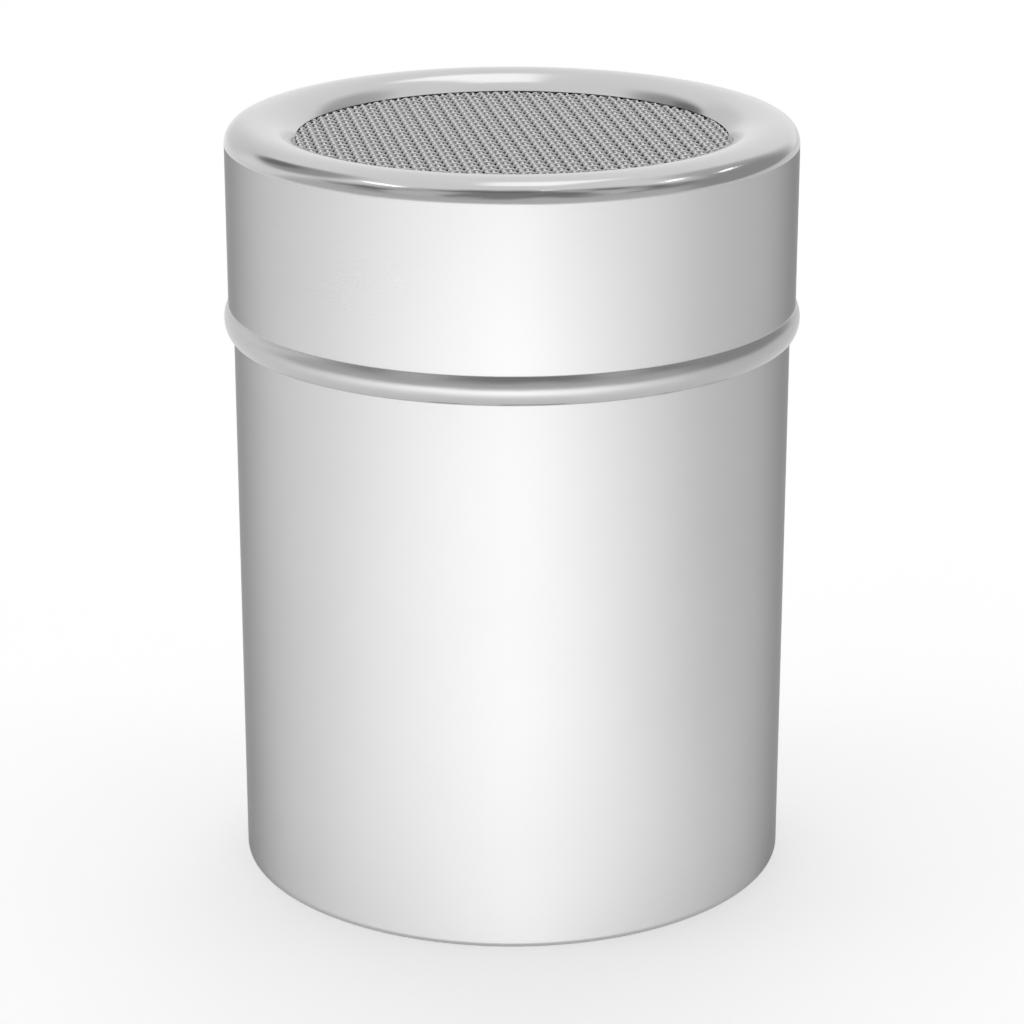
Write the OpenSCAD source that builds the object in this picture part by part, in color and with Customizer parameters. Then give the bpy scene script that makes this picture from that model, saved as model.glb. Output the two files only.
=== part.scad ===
// Mesh-top shaker: a sheet steel can with a slip-on lid that carries a woven wire screen.
// Millimetres, +Z up, origin at the centre of the face that the can stands on.

/* [Can] */
// Outer diameter of the can wall
can_d = 68.8; // [60:0.2:80]
// Height of the can from its foot to the top of its mouth
can_h = 90; // [70:0.5:130]
// Outer radius of the inward curl at the mouth
mouth_curl_r = 1.1; // [0.8:0.05:1.6]
// Height of the base panel's upper face above the foot
base_rise = 3.1; // [2.4:0.1:6]
// Outer radius of the bend between the base panel and its flange
base_bend_r = 1.2; // [0.8:0.1:2]
// Diameter of the sunk middle of the base panel
base_step_d = 48; // [20:1:54]
// Depth of the sunk middle of the base panel
base_step = 0.5; // [0.2:0.1:1]

/* [Sheet] */
// Thickness of the steel sheet of every pressing
sheet = 0.5; // [0.4:0.05:0.7]

/* [Lid] */
// Gap all round between the can wall and the lid's skirt
skirt_gap = 0.12; // [0.05:0.01:0.3]
// Height of the lid from the edge of its skirt to the crest of its rim
lid_h = 26; // [16:0.5:40]
// Outer radius of the bend between the skirt and the crown of the rim
shoulder_r = 2.3; // [1.8:0.1:3]
// Radius of the crown, where the rim starts to turn down to the skirt
crown_r = 7; // [5:0.5:10]
// How far the crown turns down before the tighter bend to the skirt, in degrees
crown_turn = 18; // [10:1:24]
// Height of the bead round the lower edge of the skirt
bead_h = 3.5; // [2.5:0.1:5]
// How far the bead stands out from the skirt
bead_out = 0.56; // [0.3:0.02:1]
// Width of the rim, from the skirt's outer face to the opening over the screen
rim_w = 8.6; // [7:0.1:14]
// Depth of the screen's upper face below the crest of the rim
screen_depth = 2.1; // [1.9:0.1:4]

/* [Screen] */
// Diameter of each wire of the screen
wire_d = 0.5; // [0.2:0.02:0.6]
// Distance from one wire to the next
wire_pitch = 1.0; // [0.8:0.05:2]
// How far the wires reach past the opening, under the rim
screen_margin = 3.4; // [2.6:0.1:3.8]
// Turn of the weave from the X and Y axes, in degrees
weave_turn = 9; // [0:0.5:90]

/* [Screen ring] */
// How far the ledge under the screen stands back from the edge of the opening
ledge_set_back = 0.3; // [0.1:0.05:0.6]
// Step down from the ledge under the screen to the flat that meets the can's mouth
ring_step = 0.85; // [0.8:0.05:1.4]
// Gap between the can's mouth and the ring when the lid is on
seat_gap = 0.05; // [0.02:0.01:0.3]

/* [Hidden] */
$fn = 96;

// Points along each bend of a section
BEND_STEPS = 12;
// How far round the mouth's curl is rolled, in degrees
MOUTH_CURL = 250;

can_r = can_d / 2;
can_ir = can_r - sheet;

skirt_ir = can_r + skirt_gap;
skirt_r = skirt_ir + sheet;
opening_r = skirt_r - rim_w;

// Heights, built up from the mouth of the can to the crest of the rim
ring_z = can_h + seat_gap;
ledge_z = ring_z + sheet + ring_step;
weft_z = ledge_z + wire_d / 2;
warp_z = weft_z + wire_d;
screen_z = ledge_z + 2 * wire_d;
crest_z = screen_z + screen_depth;
shoulder_z = crest_z - crown_r + (crown_r - shoulder_r) * cos(crown_turn);
skirt_z = crest_z - lid_h;

// Arc of the bead, from its height and how far it stands out
bead_r = (pow(bead_h / 2, 2) + pow(bead_out, 2)) / (2 * bead_out);
bead_cx = skirt_r + bead_out - bead_r;
bead_cz = skirt_z + bead_h / 2;

// Crown of the rim: level at the crest, turning down to the bend over the skirt
shoulder_cx = skirt_r - shoulder_r;
crest_x = shoulder_cx - (crown_r - shoulder_r) * sin(crown_turn);

// Lip of the rim: one arc, level at the crest, rolling down to the screen at the opening
lip_w = crest_x - opening_r;
lip_r = (pow(lip_w, 2) + pow(screen_depth, 2)) / (2 * screen_depth);

screen_r = opening_r + screen_margin;
ledge_ir = opening_r + ledge_set_back;
wire_count = floor(screen_r / wire_pitch - 0.5);

// Points on an arc about [cx, cz], from angle a to angle b
function arc_points(cx, cz, r, a, b) =
    [for (i = [0:BEND_STEPS]) let (t = a + (b - a) * i / BEND_STEPS) [cx + r * cos(t), cz + r * sin(t)]];

// Points of a list from last to first
function backwards(points) = [for (i = [len(points) - 1:-1:0]) points[i]];

// Half the angle of the bead's arc on a face set in from the outer face by t
function bead_half(t) = acos((skirt_r - t - bead_cx) / (bead_r - t));

// Angle at which the lip meets the screen, on a face set in from the outer face by t
function lip_end(t) = 90 + acos((lip_r - screen_depth) / (lip_r - t));

// One face of the lid's sheet, set in from the outer face by t
function lid_face(t) = concat(
    arc_points(bead_cx, bead_cz, bead_r - t, -bead_half(t), bead_half(t)),
    arc_points(shoulder_cx, shoulder_z, shoulder_r - t, 0, 90 - crown_turn),
    arc_points(crest_x, crest_z - crown_r, crown_r - t, 90 - crown_turn, 90),
    arc_points(crest_x, crest_z - lip_r, lip_r - t, 90, lip_end(t))
);

// Straight tube of sheet, its upper edge curled inward
module can_wall() {
    curl_cx = can_r - mouth_curl_r;
    curl_cz = can_h - mouth_curl_r;
    color("gainsboro")
    rotate_extrude()
    polygon(concat(
        [[can_ir, 0], [can_r, 0]],
        arc_points(curl_cx, curl_cz, mouth_curl_r, 0, MOUTH_CURL),
        backwards(arc_points(curl_cx, curl_cz, mouth_curl_r - sheet, 0, MOUTH_CURL))
    ));
}

// Pan with its flange down, pressed into the foot of the can wall
module can_base() {
    step_r = base_step_d / 2;
    bend_cx = can_ir - base_bend_r;
    bend_cz = base_rise - base_bend_r;
    under = base_rise - sheet;
    color("silver")
    rotate_extrude()
    polygon(concat(
        [[0, under - base_step], [step_r - base_step, under - base_step], [step_r, under]],
        backwards(arc_points(bend_cx, bend_cz, base_bend_r - sheet, 0, 90)),
        [[can_ir - sheet, 0], [can_ir, 0]],
        arc_points(bend_cx, bend_cz, base_bend_r, 0, 90),
        [[step_r, base_rise], [step_r - base_step, base_rise - base_step], [0, base_rise - base_step]]
    ));
}

// Skirt with its bead, the shoulder, the crowned rim and the lip that rolls down to the screen
module lid_shell() {
    color("whitesmoke")
    rotate_extrude()
    polygon(concat(lid_face(0), backwards(lid_face(sheet)), [[skirt_ir, skirt_z]]));
}

// Pressed ring: a ledge under the edge of the screen, a flat over the can's mouth, a flange up the skirt
module screen_ring() {
    step_x = screen_r + sheet / 2;
    flat_x = step_x + ring_step;
    flange_ir = skirt_ir - sheet;
    color("lightgray")
    rotate_extrude()
    polygon([
        [ledge_ir, ledge_z - sheet],
        [step_x - sheet / 2, ledge_z - sheet],
        [flat_x - sheet / 2, ring_z],
        [skirt_ir, ring_z],
        [skirt_ir, shoulder_z],
        [flange_ir, shoulder_z],
        [flange_ir, ring_z + sheet],
        [flat_x, ring_z + sheet],
        [step_x, ledge_z],
        [ledge_ir, ledge_z]
    ]);
}

// One layer of the screen: parallel wires along X, trimmed to a disc
module wire_layer(z) {
    color("darkgray")
    for (i = [-wire_count:wire_count]) {
        y = i * wire_pitch;
        reach = sqrt(pow(screen_r, 2) - pow(y, 2));
        translate([-reach, y, z])
        rotate([0, 90, 0])
        cylinder(d = wire_d, h = 2 * reach, $fn = 24);
    }
}

// Upper layer, running front to back but for the weave's turn
module screen_warp_wires() {
    rotate(weave_turn + 90) wire_layer(warp_z);
}

// Lower layer, square to the upper one
module screen_weft_wires() {
    rotate(weave_turn) wire_layer(weft_z);
}

can_wall();
can_base();
lid_shell();
screen_ring();
screen_warp_wires();
screen_weft_wires();
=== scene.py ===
"""A mesh-top shaker: a plain round can of sheet steel with a slip-on lid and a woven wire screen."""
import math

import bpy
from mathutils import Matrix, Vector, noise


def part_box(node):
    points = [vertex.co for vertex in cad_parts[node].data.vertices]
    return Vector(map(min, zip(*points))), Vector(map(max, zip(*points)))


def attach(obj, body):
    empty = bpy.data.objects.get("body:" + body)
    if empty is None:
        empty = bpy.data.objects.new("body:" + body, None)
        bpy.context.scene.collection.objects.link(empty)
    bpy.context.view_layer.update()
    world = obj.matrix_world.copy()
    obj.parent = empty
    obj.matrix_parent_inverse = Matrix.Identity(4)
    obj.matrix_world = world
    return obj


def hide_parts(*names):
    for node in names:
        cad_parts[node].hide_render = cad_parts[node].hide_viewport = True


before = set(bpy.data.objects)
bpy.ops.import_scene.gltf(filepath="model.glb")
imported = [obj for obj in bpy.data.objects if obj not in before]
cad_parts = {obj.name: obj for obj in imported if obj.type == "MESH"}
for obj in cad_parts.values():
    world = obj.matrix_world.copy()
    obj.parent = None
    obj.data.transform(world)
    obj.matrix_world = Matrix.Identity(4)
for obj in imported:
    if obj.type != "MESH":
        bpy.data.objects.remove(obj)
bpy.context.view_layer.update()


# --- Can wall ---------------------------------------------------------------------------------
# A strip of half-millimetre stainless sheet rolled into a tube, butt welded down the back and
# polished outside. Its upper edge is curled inward so that the mouth isn't sharp; its lower
# edge is the foot.

MM = 0.001
TURNS = 384
# Bends sharper than the crease keep a hard edge. Points closer than the next length (in mm) are
# one point, TINY only allows for rounding, and NEAR (in mm) is how close still lies on a face.
CREASE = math.radians(34)
SAME_POINT = 1e-4
TINY = 1e-6
NEAR = 0.01


def bend(centre, radius, start, end, step=6.0):
    """Points (r, z) along a round bend of the sheet, between two angles in degrees."""
    count = max(2, math.ceil(abs(end - start) / step))
    points = []
    for i in range(count + 1):
        a = math.radians(start + (end - start) * i / count)
        points.append((centre[0] + radius * math.cos(a), centre[1] + radius * math.sin(a)))
    return points


def upright(r, low, high, count=24, close=0.15):
    """Points up a straight wall, the first and last set close to its ends to keep the gloss straight."""
    inner = [low + close + (high - low - 2 * close) * k / count for k in range(count + 1)]
    return [(r, z) for z in [low, *inner, high]]


def turned(name, section, body, node, finishes, finish_at=None, ripple=None):
    """A closed section (r, z) in millimetres, turned about the axis into a smooth shell."""
    clean = [p for i, p in enumerate(section) if math.dist(p, section[i - 1]) > SAME_POINT]
    count = len(clean)
    on_axis = [r < TINY for r, z in clean]
    verts, faces, finish = [], [], []
    index = {}
    for j, (r, z) in enumerate(clean):
        for i in range(TURNS):
            if on_axis[j] and i > 0:
                index[i, j] = index[0, j]
                continue
            a = 2 * math.pi * i / TURNS
            dr, dz = ripple(a, r, z) if ripple else (0.0, 0.0)
            index[i, j] = len(verts)
            verts.append(((r + dr) * math.cos(a) * MM, (r + dr) * math.sin(a) * MM, (z + dz) * MM))
    for j in range(count):
        k = (j + 1) % count
        if on_axis[j] and on_axis[k]:
            continue
        middle = ((clean[j][0] + clean[k][0]) / 2, (clean[j][1] + clean[k][1]) / 2)
        kind = finish_at(*middle) if finish_at else 0
        for i in range(TURNS):
            n = (i + 1) % TURNS
            ring = [index[i, j], index[n, j], index[n, k], index[i, k]]
            faces.append(list(dict.fromkeys(ring)))
            finish.append(kind)
    mesh = bpy.data.meshes.new(name)
    mesh.from_pydata(verts, [], faces)
    mesh.shade_smooth()
    mesh.set_sharp_from_angle(angle=CREASE)
    for material in finishes:
        mesh.materials.append(material)
    mesh.polygons.foreach_set("material_index", finish)
    piece = bpy.data.objects.new(name, mesh)
    bpy.context.scene.collection.objects.link(piece)
    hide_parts(node)
    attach(piece, body)
    return piece


def add_node(tree, kind, inputs, **settings):
    """A shader node with its settings; each input is a value, or a socket to link to it."""
    node = tree.nodes.new(kind)
    for key, value in settings.items():
        setattr(node, key, value)
    for key, value in inputs.items():
        if isinstance(value, bpy.types.NodeSocket):
            tree.links.new(value, node.inputs[key])
        else:
            node.inputs[key].default_value = value
    return node


def grey(level):
    """An opaque grey."""
    return (level, level, level, 1.0)


# How far the colour and the roughness vary, how deep the marks are cut, and a quarter turn that
# lays the stretched glow along the axis of a piece that was polished round
MOTTLING = 0.03
ROUGH_SPREAD = 0.03
MARK_DEPTH = 0.02 * MM
POLISH_TURN = 0.25


def steel(name, tone, rough, marks, mottle, round_polish=0.0, edge_tone=1.0, relief=0.0):
    """Stainless sheet: fine marks (a scale per axis), soft mottling, and a glow along the polish."""
    metal = bpy.data.materials.new(name)
    metal.use_nodes = True
    tree = metal.node_tree
    shader = tree.nodes["Principled BSDF"]
    shader.inputs["Metallic"].default_value = 1.0
    shader.inputs["Specular Tint"].default_value = grey(edge_tone)
    place = tree.nodes.new("ShaderNodeTexCoord").outputs["Object"]
    drawn_out = add_node(tree, "ShaderNodeMapping", {"Vector": place, "Scale": marks}).outputs["Vector"]
    fine_noise = {"Vector": drawn_out, "Scale": 1.0, "Detail": 3.0}
    fine = add_node(tree, "ShaderNodeTexNoise", fine_noise).outputs["Fac"]
    soft_noise = {"Vector": place, "Scale": mottle, "Detail": 4.0}
    soft = add_node(tree, "ShaderNodeTexNoise", soft_noise).outputs["Fac"]

    colour = add_node(tree, "ShaderNodeValToRGB", {"Fac": soft})
    darker, lighter = colour.color_ramp.elements
    darker.position, darker.color = 0.3, grey(tone * (1 - MOTTLING))
    lighter.position, lighter.color = 0.7, grey(tone)
    tree.links.new(colour.outputs["Color"], shader.inputs["Base Color"])

    both = add_node(tree, "ShaderNodeMath", {0: fine, 1: soft}, operation="ADD").outputs["Value"]
    rough_range = {
        "Value": both, "From Min": 0.6, "From Max": 1.4,
        "To Min": rough * (1 - ROUGH_SPREAD), "To Max": rough * (1 + ROUGH_SPREAD),
    }
    spread = add_node(tree, "ShaderNodeMapRange", rough_range).outputs["Result"]
    tree.links.new(spread, shader.inputs["Roughness"])

    if relief:
        bumps = {"Height": fine, "Strength": relief, "Distance": MARK_DEPTH}
        bump = add_node(tree, "ShaderNodeBump", bumps).outputs["Normal"]
        tree.links.new(bump, shader.inputs["Normal"])
    if round_polish:
        radial = {"direction_type": "RADIAL", "axis": "Z"}
        around = add_node(tree, "ShaderNodeTangent", {}, **radial).outputs["Tangent"]
        shader.inputs["Anisotropic"].default_value = round_polish
        shader.inputs["Anisotropic Rotation"].default_value = POLISH_TURN
        tree.links.new(around, shader.inputs["Tangent"])
    return metal


sheet = 0.5
can_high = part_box("can_wall")[1]
can_r = can_high.x / MM
can_h = can_high.z / MM
curl_r = 1.1
curl_turn = 250
curl_at = (can_r - curl_r, can_h - curl_r)
foot_round = 0.08
wall_section = (
    bend((can_r - foot_round, foot_round), foot_round, -90, 0, 30)
    + upright(can_r, foot_round, can_h - curl_r)
    + bend(curl_at, curl_r, 0, curl_turn)
    + bend(curl_at, curl_r - sheet, curl_turn, 0)
    + upright(can_r - sheet, foot_round, can_h - curl_r)[::-1]
    + bend((can_r - sheet + foot_round, foot_round), foot_round, 180, 270, 30)
)
WELD_SINK = 0.02


def welded(a, r, z):
    """A faint line down the back, where the weld between the sheet's two edges was ground flush."""
    on_weld = abs(a - math.pi / 2) < TINY and r > can_r - NEAR
    return (-WELD_SINK if on_weld else 0.0), 0.0


def wall_finish(r, z):
    """0 for the polished outside and the curl, 1 for the inside, left as the sheet was rolled and lighter
    in tone as painted light.
    """
    return 1 if r < can_r - sheet + NEAR and z < can_h - curl_r else 0


ROUND_GRAIN = (60.0, 60.0, 9000.0)
MILL_GRAIN = (300.0, 300.0, 9000.0)
# The inside steel is rough as left by the mill. It is also much lighter in tone than the outside, as
# painted light standing in for light bounced into the can.
mill_sheet_painted_light = steel("mill_sheet_painted_light", 0.82, 0.55, MILL_GRAIN, 80.0, relief=0.15)
can_satin = steel("can_satin", 0.6, 0.3, ROUND_GRAIN, 55.0, round_polish=0.5, edge_tone=0.4)
turned(
    "can_wall_sheet", wall_section, "can", "can_wall",
    [can_satin, mill_sheet_painted_light], wall_finish, welded,
)


# --- Can base ---------------------------------------------------------------------------------
# A shallow pan pressed from the same sheet, its flange pushed down into the foot of the wall
# and welded there. The middle is sunk half a millimetre so that the panel doesn't drum.

base_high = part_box("can_base")[1]
base_r = base_high.x / MM
base_top = base_high.z / MM
pan_bend_r = 1.2
pan_step_r = 24.0
pan_step = 0.5
pan_at = (base_r - pan_bend_r, base_top - pan_bend_r)
under = base_top - sheet
base_section = (
    [(0.0, under - pan_step), (pan_step_r - pan_step, under - pan_step), (pan_step_r, under)]
    + bend(pan_at, pan_bend_r - sheet, 90, 0)
    + [(base_r - sheet, foot_round), (base_r - sheet + foot_round, 0.0)]
    + [(base_r - foot_round, 0.0), (base_r, foot_round)]
    + bend(pan_at, pan_bend_r, 0, 90)
    + [(pan_step_r, base_top), (pan_step_r - pan_step, base_top - pan_step), (0.0, base_top - pan_step)]
)
PANEL_GRAIN = (300.0, 9000.0, 300.0)
# The pressed pan and ring are rough as pressed. They are also lighter in tone than the outside steel, as
# painted light standing in for light bounced into the can and the lid.
pressed_sheet_painted_light = steel("pressed_sheet_painted_light", 0.82, 0.55, PANEL_GRAIN, 80.0, relief=0.15)
turned("can_base_pan", base_section, "can", "can_base", [pressed_sheet_painted_light])


# --- Lid shell --------------------------------------------------------------------------------
# One pressing: a satin skirt with a rolled bead round its edge, rougher than the rim and given a
# darker tone as painted shade, and a tight shoulder, a crowned rim and a lip turned down on to the
# screen, all three buffed bright after spinning.

lid_low, lid_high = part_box("lid_shell")
bead_out = 0.56
bead_h = 3.5
skirt_r = lid_high.x / MM - bead_out
skirt_z = lid_low.z / MM
crest_z = lid_high.z / MM
rim_w = 8.6
shoulder_r = 2.3
crown_r = 7.0
crown_turn = 18
screen_depth = 2.1
opening_r = skirt_r - rim_w
screen_top = crest_z - screen_depth
bead_r = ((bead_h / 2) ** 2 + bead_out ** 2) / (2 * bead_out)
bead_at = (skirt_r + bead_out - bead_r, skirt_z + bead_h / 2)
bead_half = math.degrees(math.acos((skirt_r - bead_at[0]) / bead_r))
crown_reach = crown_r - shoulder_r
crest_r = skirt_r - shoulder_r - crown_reach * math.sin(math.radians(crown_turn))
crown_at = (crest_r, crest_z - crown_r)
shoulder_at = (skirt_r - shoulder_r, crown_at[1] + crown_reach * math.cos(math.radians(crown_turn)))
lip_w = crest_r - opening_r
lip_r = (lip_w ** 2 + screen_depth ** 2) / (2 * screen_depth)
lip_at = (crest_r, crest_z - lip_r)
lip_end = math.degrees(math.acos((lip_r - screen_depth) / lip_r))

# The bead runs into the skirt through a small hollow bend, and its lower edge is dressed round
hollow_r = 0.3
hollow_x = skirt_r + hollow_r
hollow_z = bead_at[1] + math.sqrt((bead_r + hollow_r) ** 2 - (hollow_x - bead_at[0]) ** 2)
hollow_turn = math.degrees(math.atan2(hollow_z - bead_at[1], hollow_x - bead_at[0]))
hem_round = 0.12
hem_turn = 4
outer_face = (
    bend((skirt_r - hem_round, skirt_z + hem_round), hem_round, -90, 0, 30)
    + bend(bead_at, bead_r, hem_turn - bead_half, hollow_turn, 3.0)
    + bend((hollow_x, hollow_z), hollow_r, 180 + hollow_turn, 180, 6.0)
    + upright(skirt_r, hollow_z, shoulder_at[1])
    + bend(shoulder_at, shoulder_r, 0, 90 - crown_turn, 3.0)
    + bend(crown_at, crown_r, 90 - crown_turn, 90, 1.5)
    + bend(lip_at, lip_r, 90, 90 + lip_end, 1.5)
)
inner_r = bead_r - sheet
inner_half = math.degrees(math.acos((skirt_r - sheet - bead_at[0]) / inner_r))
inner_end = math.degrees(math.acos((lip_r - screen_depth) / (lip_r - sheet)))
inner_face = (
    [(skirt_r - sheet, skirt_z)]
    + bend(bead_at, inner_r, -inner_half, inner_half, 4.0)
    + upright(skirt_r - sheet, bead_at[1] + bead_h / 2, shoulder_at[1])
    + bend(shoulder_at, shoulder_r - sheet, 0, 90 - crown_turn, 5.0)
    + bend(crown_at, crown_r - sheet, 90 - crown_turn, 90, 2.0)
    + bend(lip_at, lip_r - sheet, 90, 90 + inner_end, 2.0)
)
# Depth of the spinner's unevenness, and how fast it changes round the lid and up it
SPUN_RIPPLE = 0.03
SPUN_ROUND = 6.0
SPUN_UP = 0.7


def spun(a, r, z):
    """How far in the sheet lies where spinning left the shoulder and the bead a little uneven."""
    if z >= shoulder_at[1] and r >= crest_r:
        centre, low, high = shoulder_at, shoulder_at[1], crest_z
    elif z < hollow_z and r > skirt_r:
        centre, low, high = bead_at, skirt_z, hollow_z
    else:
        return 0.0, 0.0
    along = (z - low) / (high - low)
    away = math.dist((r, z), centre)
    uneven = noise.noise(Vector((SPUN_ROUND * math.cos(a), SPUN_ROUND * math.sin(a), z * SPUN_UP)))
    sink = -SPUN_RIPPLE * 4 * along * (1 - along) * (0.5 + 0.5 * uneven)
    return sink * (r - centre[0]) / away, sink * (z - centre[1]) / away


def lid_finish(r, z):
    """0 for the satin skirt, 1 for the buffed rim, 2 for the rolled bead."""
    if z < hollow_z:
        return 2
    return 0 if r > skirt_r - NEAR and z < shoulder_at[1] else 1


BUFFED_GRAIN = (120.0, 120.0, 2500.0)
lid_satin = steel("lid_satin", 0.6, 0.28, ROUND_GRAIN, 55.0, round_polish=0.5, edge_tone=0.4)
buffed = steel("buffed_sheet", 0.58, 0.15, BUFFED_GRAIN, 160.0, relief=0.1)
# The bead's darker tone is painted shade; its higher roughness is its rolled finish.
rolled = steel("rolled_bead_painted_shade", 0.52, 0.25, BUFFED_GRAIN, 160.0, relief=0.1)
turned(
    "lid_pressing", outer_face + inner_face[::-1], "lid", "lid_shell",
    [lid_satin, buffed, rolled], lid_finish, spun,
)


# --- Screen ring ------------------------------------------------------------------------------
# A pressed ring pushed up inside the lid until it pinches the screen against the lip. Its flat
# is what stops the lid on the can's mouth.

ring_low, ring_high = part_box("screen_ring")
ring_r = ring_high.x / MM
ring_z = ring_low.z / MM
ring_top = shoulder_at[1]
wire_d = 0.5
screen_margin = 3.4
ledge_set_back = 0.3
ledge_z = screen_top - 2 * wire_d
ledge_r = opening_r + ledge_set_back
ring_step = ledge_z - sheet - ring_z
step_r = opening_r + screen_margin + sheet / 2
flat_r = step_r + ring_step
ring_corners = [
    (ledge_r, ledge_z - sheet), (step_r - sheet / 2, ledge_z - sheet), (flat_r - sheet / 2, ring_z),
    (ring_r, ring_z), (ring_r, ring_top), (ring_r - sheet, ring_top), (ring_r - sheet, ring_z + sheet),
    (flat_r, ring_z + sheet), (step_r, ledge_z), (ledge_r, ledge_z),
]
RING_BEND = 0.3


def eased(corners, reach, steps=4, most=0.4):
    """A closed section whose corners are small bends, each reaching at most a share of its sides."""
    points = []
    for i, corner in enumerate(corners):
        at = Vector(corner)
        sides = [Vector(corners[i - 1]) - at, Vector(corners[(i + 1) % len(corners)]) - at]
        start, end = [at + side.normalized() * min(reach, most * side.length) for side in sides]
        for k in range(steps + 1):
            t = k / steps
            points.append(tuple(start * (1 - t) ** 2 + at * 2 * t * (1 - t) + end * t ** 2))
    return points


ring_section = eased(ring_corners, RING_BEND)
turned("screen_ring_pressing", ring_section, "lid", "screen_ring", [pressed_sheet_painted_light])


# --- Screen -----------------------------------------------------------------------------------
# A disc cut from plain-weave stainless wire cloth. Every wire passes over one and under the
# next, so each is crimped into a wave, and the two sets hold each other. Every second warp wire
# was pulled tighter on the loom and stands a little proud.

wire_pitch = 1.0
warp_proud = 0.32
weave_turn = math.radians(9)
screen_r = opening_r + screen_margin
screen_mid = ledge_z + wire_d
wires_out = math.floor(screen_r / wire_pitch - 0.5)
# A drawn wire is a hair thinner than its nominal size; the proud wires even out near the lip
WIRE_SIDES = 7
WAVE_STEPS = 5
DRAWN_SHRINK = 0.985
PINCHED = 2.5


def warp_lie(w):
    """Height of a warp wire's middle line, and the depth of its wave."""
    return (0.5 - w % 2) * warp_proud, wire_d / 2


def weft_lie(w):
    """A weft wire lies level, and waves deeper where it has to pass over the proud warp."""
    return 0.0, wire_d / 2 + (0.5 - w % 2) * warp_proud


def smooth(t):
    """A smooth step from 0 to 1."""
    return t * t * (3 - 2 * t)


def slack(spot):
    """How free the cloth is at a spot: 0 where the lip and the ring pinch it, 1 well inside."""
    return smooth(min(1.0, max(0.0, (opening_r - spot.length) / PINCHED)))


def woven_wires(name, turn, over, lie, node, material):
    """One set of the screen's wires, each a round tube waved over and under the other set."""
    verts, faces = [], []
    radius = wire_d / 2 * DRAWN_SHRINK
    across = Vector((-math.sin(turn), math.cos(turn), 0.0))
    along = Vector((math.cos(turn), math.sin(turn), 0.0))
    for w in range(-wires_out, wires_out + 1):
        offset = w * wire_pitch
        level, wave = lie(w)
        reach = math.sqrt(screen_r ** 2 - offset ** 2)
        count = 2 * math.ceil(reach / wire_pitch * WAVE_STEPS)
        first = len(verts)
        for i in range(count + 1):
            s = -reach + 2 * reach * i / count
            phase = math.pi * (s / wire_pitch + w)
            spot = along * s + across * offset
            free = slack(spot)
            swing = over * (wire_d / 2 + free * (wave - wire_d / 2))
            lift = free * level + swing * math.cos(phase)
            slope = -swing * math.pi / wire_pitch * math.sin(phase)
            forward = (along + Vector((0.0, 0.0, slope))).normalized()
            upward = across.cross(forward) * -1.0
            centre = spot + Vector((0.0, 0.0, screen_mid + lift))
            for k in range(WIRE_SIDES):
                a = 2 * math.pi * k / WIRE_SIDES
                verts.append((centre + (across * math.cos(a) + upward * math.sin(a)) * radius) * MM)
        for i in range(count):
            for k in range(WIRE_SIDES):
                n = (k + 1) % WIRE_SIDES
                low = first + i * WIRE_SIDES
                faces.append((low + k, low + n, low + WIRE_SIDES + n, low + WIRE_SIDES + k))
        faces.append([first + k for k in range(WIRE_SIDES)][::-1])
        faces.append([first + count * WIRE_SIDES + k for k in range(WIRE_SIDES)])
    mesh = bpy.data.meshes.new(name)
    mesh.from_pydata(verts, [], faces)
    mesh.shade_smooth()
    mesh.materials.append(material)
    piece = bpy.data.objects.new(name, mesh)
    bpy.context.scene.collection.objects.link(piece)
    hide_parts(node)
    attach(piece, "lid")


DRAWN_GRAIN = (900.0, 900.0, 900.0)
drawn_wire = steel("drawn_wire", 0.6, 0.28, DRAWN_GRAIN, 400.0)
woven_wires("screen_warp", weave_turn + math.pi / 2, -1.0, warp_lie, "screen_warp_wires", drawn_wire)
woven_wires("screen_weft", weave_turn, 1.0, weft_lie, "screen_weft_wires", drawn_wire)


# --- Table and light --------------------------------------------------------------------------
# A white table in a white room. The table glows a little so it reads white, and it glows in the can's
# reflections too. That glow is a painted reflection, weaker to the right as painted shade. The room's
# front is dim and cluttered above a paler horizon, and some of its corners are darker. A softbox and four
# small lamps hang over the lid, and a sheet of soft light lies on the table round the front of the can.

TABLE_HALF = 3.0
TABLE_LIFT = 0.32
# The table's glow in reflections is a painted reflection. It halves between the next two distances to the
# right (in m), as painted shade.
TABLE_REFLECTED_GLOW = 0.27
TABLE_WHITE = 0.92
REFLECTED_GLOW_FALLS = (0.05, 0.18)
table_mesh = bpy.data.meshes.new("table")
table_corners = [(-TABLE_HALF, -TABLE_HALF, 0), (TABLE_HALF, -TABLE_HALF, 0)]
table_corners += [(TABLE_HALF, TABLE_HALF, 0), (-TABLE_HALF, TABLE_HALF, 0)]
table_mesh.from_pydata(table_corners, [], [(0, 1, 2, 3)])
table = bpy.data.objects.new("table", table_mesh)
bpy.context.scene.collection.objects.link(table)
table_white = bpy.data.materials.new("table_white")
table_white.use_nodes = True
table_shader = table_white.node_tree.nodes["Principled BSDF"]
tree = table_white.node_tree
seen = tree.nodes.new("ShaderNodeLightPath")
place = tree.nodes.new("ShaderNodeTexCoord").outputs["Object"]
right = add_node(tree, "ShaderNodeSeparateXYZ", {"Vector": place}).outputs["X"]
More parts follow.
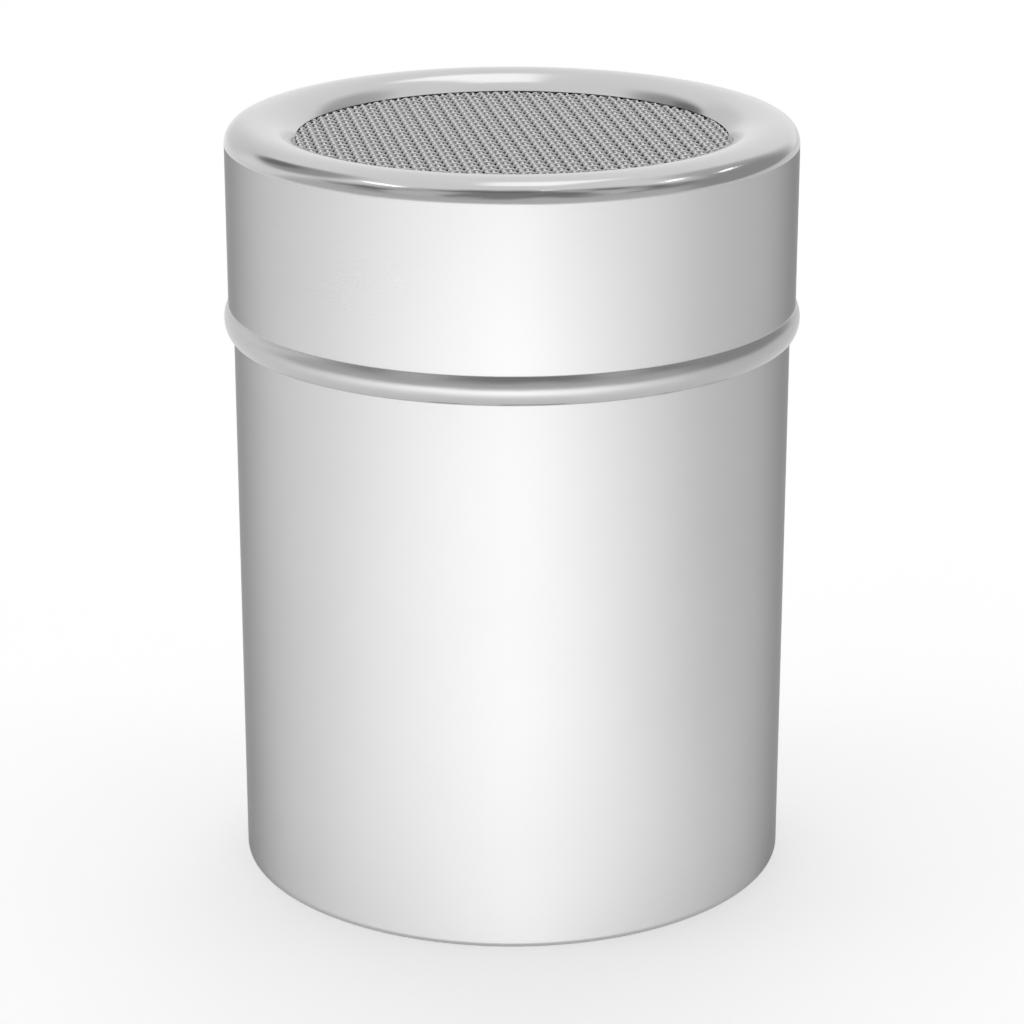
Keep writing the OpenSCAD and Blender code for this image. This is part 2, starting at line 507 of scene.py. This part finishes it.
# Painted reflection: glossy rays see the table glow, and the glow weakens to the right, painting shade on
# the can's right side.
reflected_glow_range = {
    "Value": right, "From Min": REFLECTED_GLOW_FALLS[0], "From Max": REFLECTED_GLOW_FALLS[1],
    "To Min": TABLE_REFLECTED_GLOW, "To Max": TABLE_REFLECTED_GLOW / 2,
}
reflected_glow = add_node(tree, "ShaderNodeMapRange", reflected_glow_range).outputs["Result"]
mirrored = {0: seen.outputs["Is Glossy Ray"], 1: reflected_glow}
reflected = add_node(tree, "ShaderNodeMath", mirrored, operation="MULTIPLY").outputs["Value"]
lifted = {0: seen.outputs["Is Camera Ray"], 1: TABLE_LIFT, 2: reflected}
lift = add_node(tree, "ShaderNodeMath", lifted, operation="MULTIPLY_ADD").outputs["Value"]
table_shader.inputs["Base Color"].default_value = grey(TABLE_WHITE)
table_shader.inputs["Roughness"].default_value = 0.8
table_shader.inputs["Specular IOR Level"].default_value = 0.1
table_shader.inputs["Emission Color"].default_value = grey(1.0)
tree.links.new(lift, table_shader.inputs["Emission Strength"])
table_mesh.materials.append(table_white)

# The sheet of light fans out from a point inside the can. It is strongest in front of the can,
# and fades to its two sides and to its far edge.
GLOW = 0.8
GLOW_EXTRA = 0.45
GLOW_FADE = 0.6
GLOW_APEX = can_r / 2 * MM
GLOW_GAP = 0.3
GLOW_NEAR = (can_r + GLOW_GAP) * MM
GLOW_FAR = 0.8
GLOW_TURN_LEFT = 128
GLOW_TURN_RIGHT = 106
GLOW_FRONT = 80
GLOW_HEIGHT = 0.0003
RINGS = 24
RAYS = 88
glow_mesh = bpy.data.meshes.new("glow_sheet")
points, quads, strengths = [], [], []
for i in range(RINGS + 1):
    for k in range(RAYS + 1):
        side = 2 * k / RAYS - 1
        a = math.radians(side * (GLOW_TURN_RIGHT if side > 0 else GLOW_TURN_LEFT))
        foot = math.sqrt(GLOW_NEAR ** 2 - (GLOW_APEX * math.sin(a)) ** 2) - GLOW_APEX * math.cos(a)
        reach = foot + (GLOW_FAR - foot) * (i / RINGS) ** 2
        points.append((reach * math.sin(a), -GLOW_APEX - reach * math.cos(a), GLOW_HEIGHT))
        far = max(0.0, (reach / GLOW_FAR - GLOW_FADE) / (1 - GLOW_FADE))
        front = max(0.0, 1 - abs(math.degrees(a)) / GLOW_FRONT)
        strengths.append((1 - smooth(abs(side)) + GLOW_EXTRA * front) * (1 - smooth(far)))
for i in range(RINGS):
    for k in range(RAYS):
        low = i * (RAYS + 1) + k
        quads.append((low, low + RAYS + 1, low + RAYS + 2, low + 1))
glow_mesh.from_pydata(points, [], quads)
glow_mesh.attributes.new("glow", "FLOAT", "POINT").data.foreach_set("value", strengths)
glow = bpy.data.objects.new("glow_sheet", glow_mesh)
glow.visible_camera = False
glow.visible_shadow = False
bpy.context.scene.collection.objects.link(glow)
glow_light = bpy.data.materials.new("glow_light")
glow_light.use_nodes = True
tree = glow_light.node_tree
tree.nodes.remove(tree.nodes["Principled BSDF"])
amount = add_node(tree, "ShaderNodeAttribute", {}, attribute_name="glow").outputs["Fac"]
behind = tree.nodes.new("ShaderNodeNewGeometry").outputs["Backfacing"]
front_only = add_node(tree, "ShaderNodeMath", {0: 1.0, 1: behind}, operation="SUBTRACT").outputs["Value"]
level = add_node(tree, "ShaderNodeMath", {0: amount, 1: front_only}, operation="MULTIPLY").outputs["Value"]
gloss = add_node(tree, "ShaderNodeFresnel", {"IOR": 1.45}).outputs["Fac"]
shallow_range = {"Value": gloss, "From Min": 0.04, "From Max": 0.14, "To Min": 0.1, "To Max": 1.0}
shallow = add_node(tree, "ShaderNodeMapRange", shallow_range).outputs["Result"]
glossy = add_node(tree, "ShaderNodeMath", {0: level, 1: shallow}, operation="MULTIPLY").outputs["Value"]
power = add_node(tree, "ShaderNodeMath", {0: glossy, 1: GLOW}, operation="MULTIPLY").outputs["Value"]
shine = add_node(tree, "ShaderNodeEmission", {"Strength": power}).outputs["Emission"]
clear = tree.nodes.new("ShaderNodeBsdfTransparent").outputs["BSDF"]
total = add_node(tree, "ShaderNodeAddShader", {0: clear, 1: shine}).outputs["Shader"]
tree.links.new(total, tree.nodes["Material Output"].inputs["Surface"])
glow_mesh.materials.append(glow_light)

ROOM_LIGHT = 1.0
ROOM_DIM = (0.2, 0.7)
ROOM_HORIZON = 0.65
ROOM_BRIGHT_UP = math.radians(30)
ROOM_BRIGHT_SIDE = (0.0, math.cos(ROOM_BRIGHT_UP), math.sin(ROOM_BRIGHT_UP))
# Darker corners of the room: a way towards each, its half width in degrees, and its level
DARK_CORNERS = (
    ((-0.68, 0.38, 0.62), 24, 0.45),
    ((-0.63, 0.54, 0.55), 12, 0.22),
    ((0.66, 0.42, 0.62), 24, 0.6),
    ((0.95, 0.3, 0.1), 45, 0.4),
    ((-0.45, 0.86, 0.25), 22, 0.85),
    ((-0.04, -0.76, 0.65), 20, 0.3),
    ((0.3, -0.7, 0.65), 13, 0.25),
)
room = bpy.data.worlds.new("room")
room.use_nodes = True
bpy.context.scene.world = room
tree = room.node_tree
way = tree.nodes.new("ShaderNodeTexCoord").outputs["Generated"]


def towards(direction):
    """How nearly a way through the room points along a direction: 1 along it, 0 square to it."""
    ends = {0: way, 1: Vector(direction).normalized()}
    return add_node(tree, "ShaderNodeVectorMath", ends, operation="DOT_PRODUCT").outputs["Value"]


def fade(value, low, high, dark, light):
    """A smooth change of the room's light from one level to another along a direction."""
    levels = {"Value": value, "From Min": low, "From Max": high, "To Min": dark, "To Max": light}
    return add_node(tree, "ShaderNodeMapRange", levels, interpolation_type="SMOOTHSTEP").outputs["Result"]


clutter_noise = {"Vector": way, "Scale": 3.0, "Detail": 2.0}
clutter = add_node(tree, "ShaderNodeTexNoise", clutter_noise).outputs["Fac"]
dim = fade(clutter, 0.4, 0.6, *ROOM_DIM)
low_front = fade(towards((0.0, 0.0, 1.0)), 0.2, 0.55, ROOM_HORIZON, dim)
room_level = fade(towards(ROOM_BRIGHT_SIDE), 0.1, 0.32, low_front, ROOM_LIGHT)
for corner, half_width, level in DARK_CORNERS:
    outer = math.cos(math.radians(half_width))
    inner = math.cos(math.radians(half_width / 2))
    room_level = fade(towards(corner), outer, inner, room_level, level)
tree.links.new(room_level, tree.nodes["Background"].inputs["Strength"])
tree.nodes["Background"].inputs["Color"].default_value = grey(1.0)


LID_TOP = Vector((0.0, 0.0, crest_z * MM))
# Each lamp's name, place, width, depth and power; all of them face the lid
LAMPS = (
    ("window", (0.05, 0.44, 0.98), 0.22, 0.55, 0.22),
    ("lamp_left", (-0.55, -0.14, 0.91), 0.26, 0.04, 0.12),
    ("lamp_middle", (0.16, -0.36, 1.02), 0.08, 0.03, 0.025),
    ("lamp_right", (0.66, 0.0, 0.85), 0.14, 0.04, 0.07),
    ("lamp_far_right", (0.75, 0.31, 0.69), 0.16, 0.04, 0.08),
)
for name, place, width, depth, power in LAMPS:
    light = bpy.data.lights.new(name, "AREA")
    light.shape = "RECTANGLE"
    light.size = width
    light.size_y = depth
    light.energy = power
    lamp = bpy.data.objects.new(name, light)
    lamp.location = place
    lamp.rotation_euler = (LID_TOP - Vector(place)).to_track_quat("-Z", "Y").to_euler()
    lamp.visible_camera = False
    bpy.context.scene.collection.objects.link(lamp)


# --- Camera -----------------------------------------------------------------------------------
# A long lens, a little above the lid, looking down on the front of the can.

camera_data = bpy.data.cameras.new("camera")
camera_data.sensor_width = 36.0
camera_data.lens = 115.1
LOOK_DOWN = 18.86
camera = bpy.data.objects.new("camera", camera_data)
camera.location = (0.0, -0.3922, 0.1778)
camera.rotation_euler = (math.radians(90 - LOOK_DOWN), 0.0, 0.0)
bpy.context.scene.collection.objects.link(camera)
bpy.context.scene.camera = camera
bpy.context.scene.view_settings.view_transform = "Standard"
